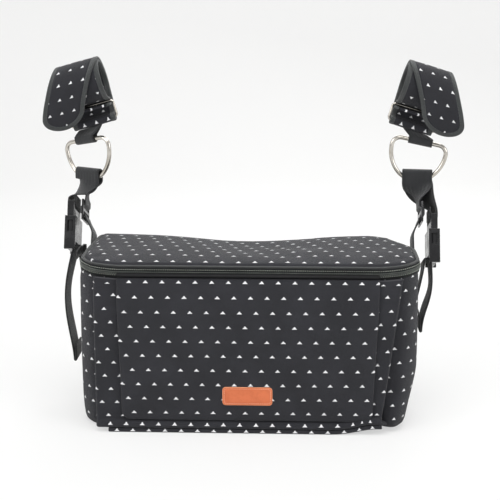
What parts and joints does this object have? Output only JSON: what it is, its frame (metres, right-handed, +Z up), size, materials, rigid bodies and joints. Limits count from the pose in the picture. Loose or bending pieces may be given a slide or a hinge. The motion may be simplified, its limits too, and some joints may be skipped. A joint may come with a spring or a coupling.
{
  "type": "hanging organiser bag",
  "caption": "Soft box-shaped organiser bag with a zipped padded lid and a flap over its front pocket, hung from a bar by wrap-round cuffs, D-rings and buckled webbing.",
  "frame": {"origin": "on the underside of the bag's base, in the middle of the bag's width", "axes": "+Z up, +X to the viewer's right, the flap and label face -Y"},
  "size_m": [0.4445, 0.1736, 0.3667],
  "materials": {
    "fabric_charcoal": "printed woven polyester, charcoal with small pale triangles",
    "fabric_lid": "plain coated polyester, padded",
    "binding": "ribbed binding tape",
    "webbing": "ribbed nylon webbing",
    "zip_tape": "knitted zip tape",
    "zip_teeth": "nylon coil",
    "zip_metal": "black lacquer",
    "label": "smooth orange-tan patch, edge stitched",
    "nickel": "bright nickel plate",
    "black_plastic": "moulded acetal"
  },
  "bodies": {
    "bag": {"body_shell": "fabric_charcoal", "front_pocket": "fabric_charcoal", "flap_seam_strip": "binding", "zip_tape_lower": "zip_tape", "zip_teeth_lower": "zip_teeth", "zip_slider": "zip_metal", "lid_hinge_strip": "binding", "strap_left": "webbing", "side_webbing_left": "webbing", "slide_adjuster_left": "black_plastic", "buckle_male_left": "black_plastic", "buckle_female_left": "black_plastic", "d_ring_left": "nickel", "strap_right": "webbing", "side_webbing_right": "webbing", "slide_adjuster_right": "black_plastic", "buckle_male_right": "black_plastic", "buckle_female_right": "black_plastic", "d_ring_right": "nickel"},
    "lid": {"lid": "fabric_lid", "lid_piping": "binding", "zip_tape_upper": "zip_tape", "zip_teeth_upper": "zip_teeth"},
    "flap": {"front_flap": "fabric_charcoal", "label": "label"},
    "pull": {"zip_pull": "zip_metal"},
    "cuff_left": {"cuff_left": "fabric_charcoal", "cuff_binding_left": "binding", "wire_loop_left": "nickel", "ring_tab_left": "webbing"},
    "cuff_right": {"cuff_right": "fabric_charcoal", "cuff_binding_right": "binding", "wire_loop_right": "nickel", "ring_tab_right": "webbing"}
  },
  "joints": [
    {"name": "lid_hinge", "type": "hinge", "parent": "bag", "child": "lid", "pos_m": [0, 0.0693, 0.168], "axis": [-1, 0, 0], "range_deg": [0, 66]},
    {"name": "flap_hinge", "type": "hinge", "parent": "bag", "child": "flap", "pos_m": [0, -0.0688, 0.162], "axis": [-1, 0, 0], "range_deg": [0, 100]},
    {"name": "zip_pull_swing", "type": "hinge", "parent": "bag", "child": "pull", "pos_m": [-0.1792, 0.0233, 0.168], "axis": [0, 0, -1], "range_deg": [0, 98]},
    {"name": "cuff_swing_left", "type": "hinge", "parent": "bag", "child": "cuff_left", "pos_m": [-0.1795, 0.076, 0.277], "axis": [-0.8501, 0.4908, -0.1908], "range_deg": [-10, 90]},
    {"name": "cuff_swing_right", "type": "hinge", "parent": "bag", "child": "cuff_right", "pos_m": [0.1795, 0.076, 0.277], "axis": [-0.9721, 0.1366, 0.1908], "range_deg": [-10, 90]}
  ]
}
